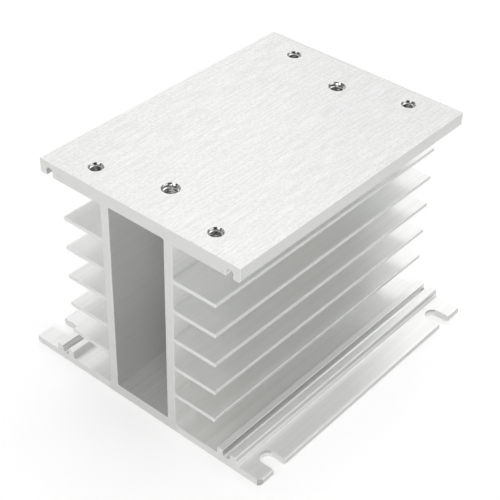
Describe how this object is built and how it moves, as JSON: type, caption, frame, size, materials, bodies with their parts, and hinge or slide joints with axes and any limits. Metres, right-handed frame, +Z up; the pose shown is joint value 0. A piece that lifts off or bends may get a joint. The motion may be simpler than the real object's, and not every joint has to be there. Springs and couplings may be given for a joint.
{
  "type": "solid state relay heat sink",
  "caption": "Extruded aluminium heat sink for a solid state relay: tapped mounting plate, hollow stem with side fins, slotted foot and screw ports for a fan.",
  "frame": {"origin": "middle of the foot's underside, which is the bottom centre of the bounding box", "axes": "+X across the section from fin side to fin side, +Y along the extrusion, +Z up from the foot to the mounting plate"},
  "size_m": [0.1, 0.11, 0.08],
  "materials": {
    "aluminium": "mill finish with a brushed mounting plate"
  },
  "bodies": {
    "root": {"heat_sink": "aluminium"}
  },
  "joints": []
}
